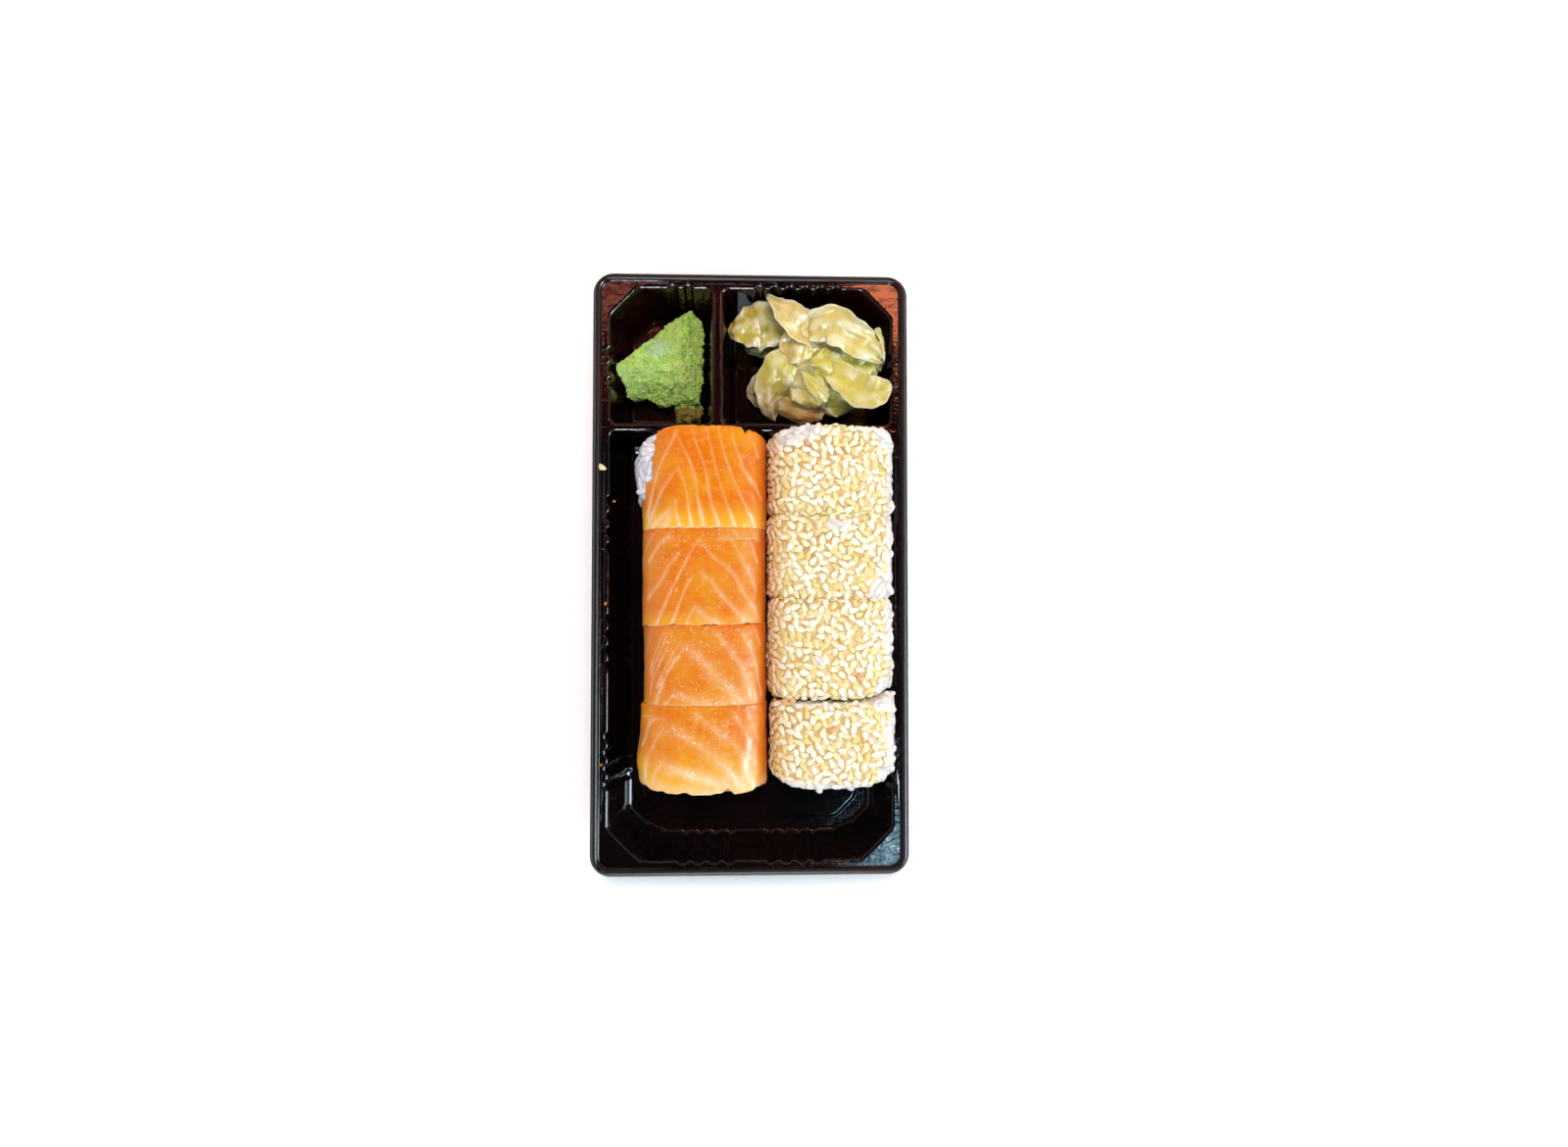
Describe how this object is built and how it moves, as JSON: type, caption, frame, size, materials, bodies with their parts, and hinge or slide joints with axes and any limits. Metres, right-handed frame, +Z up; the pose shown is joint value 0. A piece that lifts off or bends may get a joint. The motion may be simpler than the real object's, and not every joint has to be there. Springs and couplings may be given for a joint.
{
  "type": "takeaway sushi tray",
  "caption": "Black takeaway tray with grooved walls and three cells, holding salmon-topped and sesame-coated rice rolls, wasabi and sliced pickled ginger.",
  "frame": {"origin": "centre of the tray's footprint, on the plane it stands on", "axes": "+X to the right across the tray, +Y along its length towards the wasabi and ginger cells, +Z up"},
  "size_m": [0.1, 0.19, 0.0321],
  "materials": {
    "tray": "thermoformed sheet, glossy black with a brown cast",
    "rice": "moist cooked rice, satin white; stands in for food",
    "salmon": "raw salmon, moist satin orange with pale lines; stands in for food",
    "sesame_rice": "rice under hulled sesame seeds, ivory to gold; stands in for food",
    "wasabi": "rough moist paste, yellow-green; stands in for food",
    "ginger": "thin translucent pickled slices, pale yellow to pink; stands in for food"
  },
  "bodies": {
    "root": {"tray": "tray", "rice_salmon_1": "rice", "salmon_1": "salmon", "rice_salmon_2": "rice", "salmon_2": "salmon", "rice_salmon_3": "rice", "salmon_3": "salmon", "rice_salmon_4": "rice", "salmon_4": "salmon", "sesame_roll_1": "sesame_rice", "sesame_roll_2": "sesame_rice", "sesame_roll_3": "sesame_rice", "sesame_roll_4": "sesame_rice", "wasabi": "wasabi", "ginger": "ginger"}
  },
  "joints": []
}
